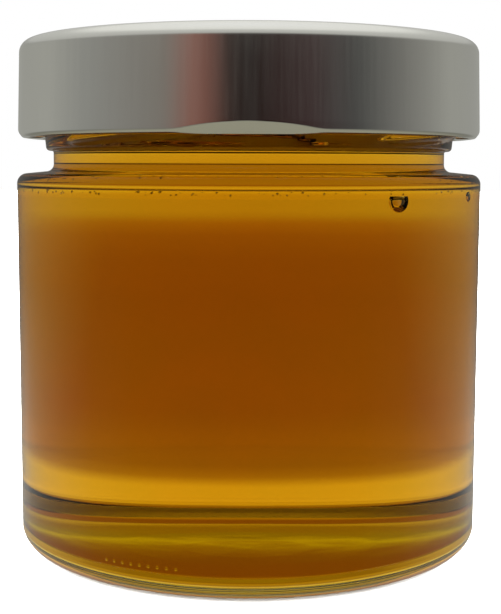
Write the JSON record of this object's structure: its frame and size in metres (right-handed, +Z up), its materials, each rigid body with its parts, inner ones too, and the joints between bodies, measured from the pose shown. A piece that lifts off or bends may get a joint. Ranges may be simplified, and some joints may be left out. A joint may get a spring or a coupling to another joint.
{
  "type": "honey jar",
  "caption": "Low round clear glass jar filled with clear amber honey and closed by a deep plain silver twist-off lid.",
  "frame": {"origin": "middle of the ring that the jar stands on", "axes": "+Z up along the jar's axis; the side shown in the picture faces -Y, with +X to its right"},
  "size_m": [0.074, 0.074, 0.0802],
  "materials": {
    "glass": "clear, smooth moulded glass",
    "tinplate": "satin silver, fine vertical grain",
    "honey": "clear amber liquid, glossy"
  },
  "bodies": {
    "root": {"jar_glass": "glass", "lid": "tinplate", "honey": "honey"}
  },
  "joints": []
}
